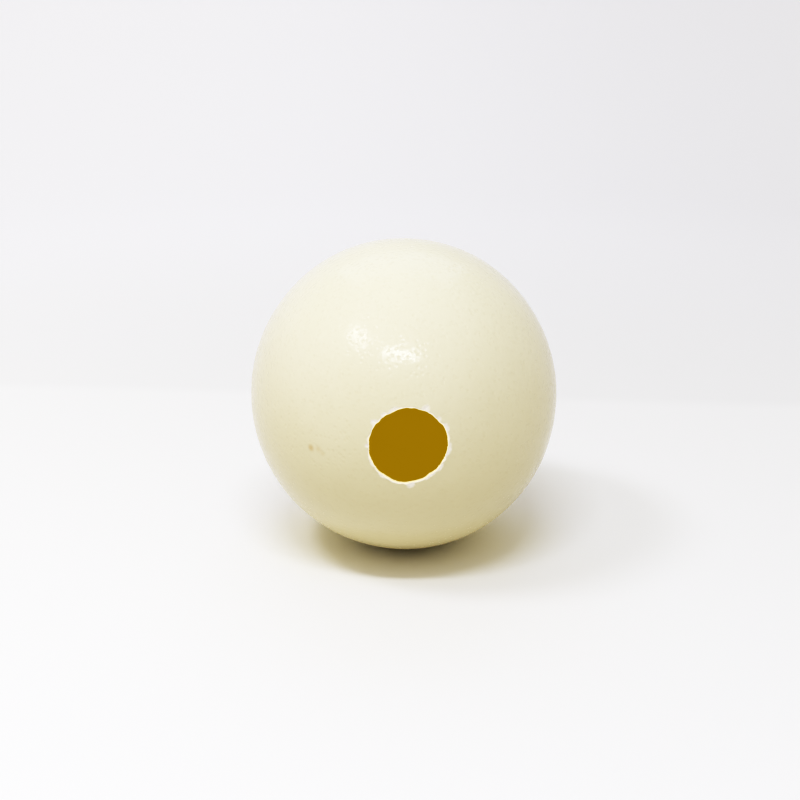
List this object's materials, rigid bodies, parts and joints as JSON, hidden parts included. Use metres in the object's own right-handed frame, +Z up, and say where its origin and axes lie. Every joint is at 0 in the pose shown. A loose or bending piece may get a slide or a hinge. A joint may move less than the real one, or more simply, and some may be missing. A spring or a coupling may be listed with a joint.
{
  "type": "ostrich egg",
  "caption": "Empty ostrich eggshell, cream and finely pitted, lying on its side with a rough-edged blow hole in its blunt end.",
  "frame": {"origin": "on the surface the egg lies on, midway between the rim of the hole and the pointed end", "axes": "+Y along the long axis, from the blunt end with the hole to the closed pointed end; +Z up; the hole faces -Y"},
  "size_m": [0.125, 0.156, 0.1246],
  "materials": {
    "eggshell": "satin, cream, finely pitted"
  },
  "bodies": {
    "root": {"eggshell": "eggshell"}
  },
  "joints": []
}
